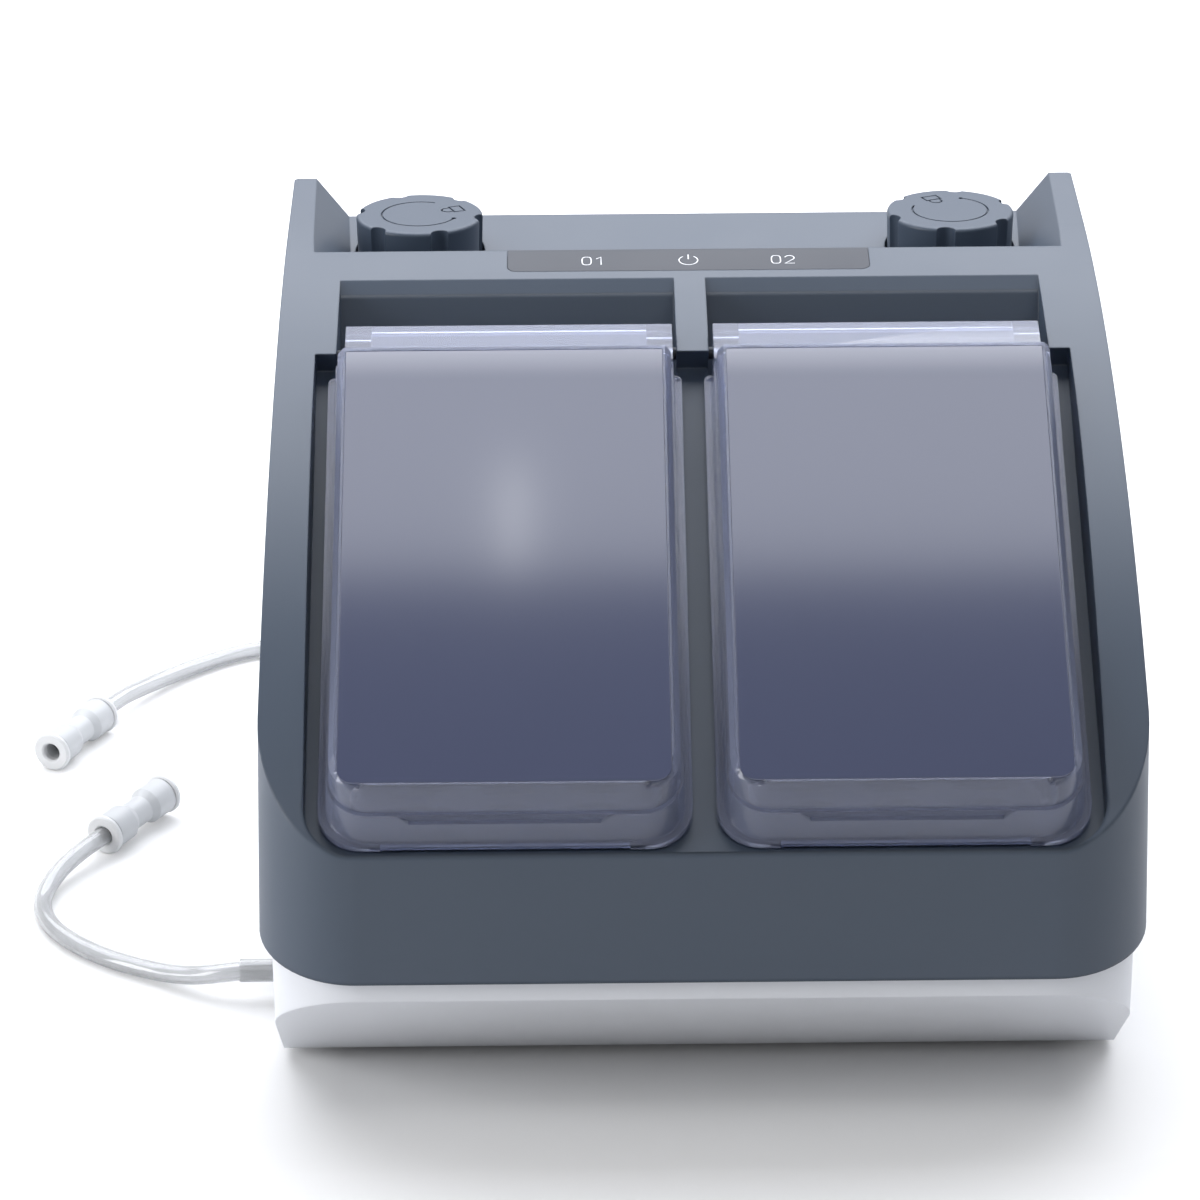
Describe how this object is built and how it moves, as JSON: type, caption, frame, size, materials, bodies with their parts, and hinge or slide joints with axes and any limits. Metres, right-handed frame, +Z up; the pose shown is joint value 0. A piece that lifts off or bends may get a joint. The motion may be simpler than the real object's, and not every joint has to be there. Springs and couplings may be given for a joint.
{
  "type": "dry block heater",
  "caption": "Bench dry block heater: sloped console with hinged see-through lids over vial wells, rotary knobs behind, and gas lines with push-in unions.",
  "frame": {"origin": "centre of the footprint of the heater without its free gas lines, on the surface its rubber feet stand on", "axes": "+X to the right as seen from the front, +Y towards the rear, +Z up"},
  "size_m": [0.36, 0.376, 0.2185],
  "materials": {
    "housing": "satin moulded grey-blue",
    "base": "satin moulded white",
    "lid_clear": "clear moulded, faint lavender",
    "lid_frosted": "frosted tinted window",
    "panel": "smooth grey display window",
    "knob": "satin moulded grey",
    "steel": "brushed",
    "aluminium": "machined, anodised",
    "silicone": "soft matt seal",
    "heater": "silicone heater mat",
    "foam": "closed-cell foam",
    "board": "circuit board",
    "black": "black moulded",
    "rocker": "black gloss",
    "feet": "matt rubber",
    "filter": "white cartridge",
    "cup": "dark moulded cup",
    "manifold": "machined",
    "metal_case": "zinc plated sheet",
    "fitting": "light grey moulded",
    "collar": "white moulded",
    "tube": "translucent flexible tube"
  },
  "bodies": {
    "chassis": {"base_shell": "base", "top_housing": "housing", "status_panel": "panel", "indicator_board": "board", "control_board": "board", "power_supply": "metal_case", "mains_inlet": "black", "switch_frame": "black", "rear_port": "fitting", "side_port": "fitting", "gas_manifold": "manifold", "rubber_feet": "feet", "case_screws": "steel", "upper_tube": "tube", "upper_union": "fitting", "upper_collars": "collar", "lower_tube": "tube", "lower_sleeve": "tube", "lower_union": "fitting", "lower_collars": "collar", "left_gasket": "silicone", "left_bay_liner": "steel", "left_heat_block": "aluminium", "left_heater_mat": "heater", "left_insulation": "foam", "left_sensor": "steel", "left_cutout": "black", "left_block_stand": "steel", "left_hinge_pin": "steel", "left_filter_well": "cup", "right_gasket": "silicone", "right_bay_liner": "steel", "right_heat_block": "aluminium", "right_heater_mat": "heater", "right_insulation": "foam", "right_sensor": "steel", "right_cutout": "black", "right_block_stand": "steel", "right_hinge_pin": "steel", "right_filter_well": "cup"},
    "left_lid": {"left_lid": "lid_clear", "left_lid_window": "lid_frosted"},
    "right_lid": {"right_lid": "lid_clear", "right_lid_window": "lid_frosted"},
    "left_knob": {"left_knob": "knob", "left_filter": "filter"},
    "right_knob": {"right_knob": "knob", "right_filter": "filter"},
    "rocker": {"power_rocker": "rocker"}
  },
  "joints": [
    {"name": "left_lid_hinge", "type": "hinge", "parent": "chassis", "child": "left_lid", "pos_m": [-0.0585, 0.01767, 0.1969], "axis": [-1, 0, 0], "range_deg": [0, 125]},
    {"name": "right_lid_hinge", "type": "hinge", "parent": "chassis", "child": "right_lid", "pos_m": [0.0585, 0.01767, 0.1969], "axis": [-1, 0, 0], "range_deg": [0, 125]},
    {"name": "left_knob_turn", "type": "hinge", "parent": "chassis", "child": "left_knob", "pos_m": [-0.087, 0.10417, 0.19909], "axis": [0, 0, 1], "range_deg": [0, 90]},
    {"name": "right_knob_turn", "type": "hinge", "parent": "chassis", "child": "right_knob", "pos_m": [0.087, 0.10417, 0.19909], "axis": [0, 0, 1], "range_deg": [-90, 0]},
    {"name": "power_rocker_tilt", "type": "hinge", "parent": "chassis", "child": "rocker", "pos_m": [0.03, 0.12789, 0.052], "axis": [1, 0, 0], "range_deg": [-18, 0]}
  ]
}
